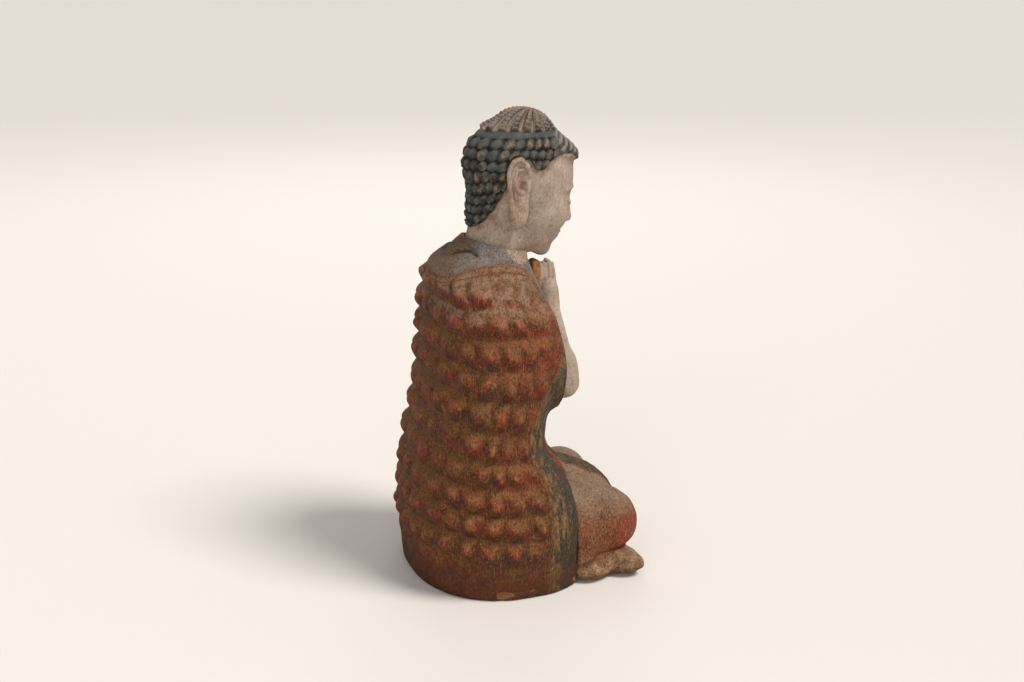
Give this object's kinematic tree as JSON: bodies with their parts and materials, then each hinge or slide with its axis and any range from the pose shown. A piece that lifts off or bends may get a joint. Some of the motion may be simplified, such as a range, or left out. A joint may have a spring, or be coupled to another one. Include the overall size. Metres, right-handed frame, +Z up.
{
  "type": "buddha statue",
  "caption": "Kneeling, praying figure carved from joined wood blocks, painted, in a cloak with rows of knobs, palms together and head bowed; it stands on a flat foot.",
  "frame": {"origin": "on the floor, under the middle of the trunk's width", "axes": "+Z up; -Y is the way the figure faces; +X is its left"},
  "size_m": [0.208, 0.2116, 0.4302],
  "materials": {
    "robe_paint": "worn matt red and blue-black paint on carved wood, dusty in its hollows",
    "skin_paint": "worn matt gesso and paint on carved wood",
    "bare_wood": "unpainted softwood"
  },
  "bodies": {
    "root": {"trunk": "robe_paint", "lap_block": "robe_paint", "head": "skin_paint", "forearm_right": "skin_paint", "forearm_left": "skin_paint", "base_plug": "bare_wood", "lap_dowel_right": "bare_wood", "lap_dowel_left": "bare_wood", "forearm_dowel_right": "bare_wood", "forearm_dowel_left": "bare_wood", "neck_peg": "bare_wood", "palm_pin": "bare_wood", "plug_pin_front": "bare_wood", "plug_pin_back": "bare_wood"}
  },
  "joints": []
}
